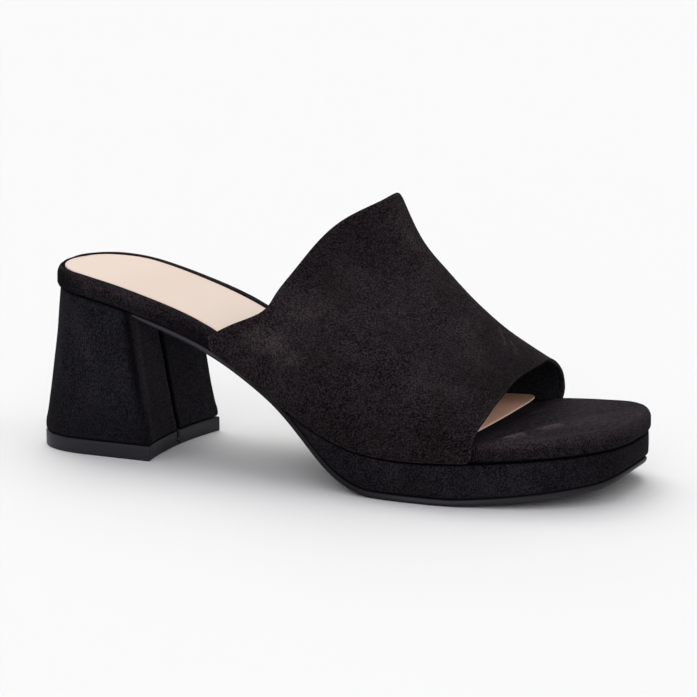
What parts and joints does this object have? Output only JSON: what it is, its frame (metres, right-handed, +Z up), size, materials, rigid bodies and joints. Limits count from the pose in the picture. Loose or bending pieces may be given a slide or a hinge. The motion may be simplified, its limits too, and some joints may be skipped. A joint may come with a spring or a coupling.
{
  "type": "block heel platform mule sandal",
  "caption": "Open-toe slip-on mule with a broad suede upper, low front platform, cushioned footbed, smooth inner sock and a flared block heel, for the right foot.",
  "frame": {"origin": "on the ground plane, below the middle of the shoe's bounding box", "axes": "-Y towards the toe, +Y towards the heel, -X towards the outer (lateral) side, +Z up from the ground the empty shoe stands on"},
  "size_m": [0.0906, 0.2381, 0.1021],
  "materials": {
    "upper_suede": "matt brushed black faux suede",
    "footbed_suede": "matt brushed black faux suede over a cushioned board",
    "platform_suede": "matt black faux suede wrapped round the platform",
    "heel_suede": "matt black faux suede wrapped round the heel block",
    "insole_sock": "smooth satin beige lining leather",
    "outsole_rubber": "satin black",
    "top_piece_rubber": "satin black, hard"
  },
  "bodies": {
    "root": {"upper": "upper_suede", "footbed": "footbed_suede", "platform": "platform_suede", "heel": "heel_suede", "insole": "insole_sock", "outsole": "outsole_rubber", "heel_top_piece": "top_piece_rubber"}
  },
  "joints": []
}
